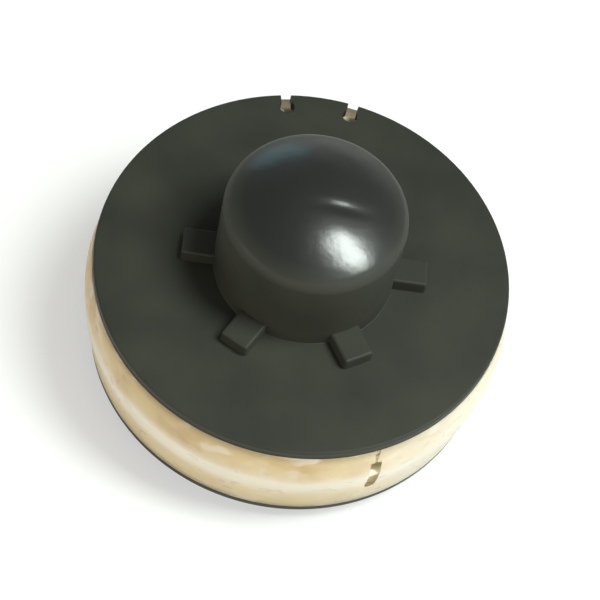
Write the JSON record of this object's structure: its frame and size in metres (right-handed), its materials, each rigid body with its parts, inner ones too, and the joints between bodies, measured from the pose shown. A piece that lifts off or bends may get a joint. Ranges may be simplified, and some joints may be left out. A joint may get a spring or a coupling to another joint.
{
  "type": "trimmer line spool",
  "caption": "Round moulded line spool for a grass trimmer head, with a domed bump knob, block lugs, keyhole notches in the rim and a pale film wrapped round its wound line.",
  "frame": {"origin": "on the spool's axis, in the plane of the lower lugs' feet", "axes": "+Z along the spool's axis towards the knob, +Y through the middle between the two keyhole notches"},
  "size_m": [0.0872, 0.0872, 0.0567],
  "materials": {
    "black_plastic": "moulded black plastic, satin on the flanges and glossier on the knob",
    "nylon_line": "extruded natural nylon, pale and slightly translucent",
    "milky_film": "milky plastic film, soft sheen, slightly crinkled"
  },
  "bodies": {
    "root": {"spool_body": "black_plastic", "wound_line": "nylon_line", "wrap_film": "milky_film"}
  },
  "joints": []
}
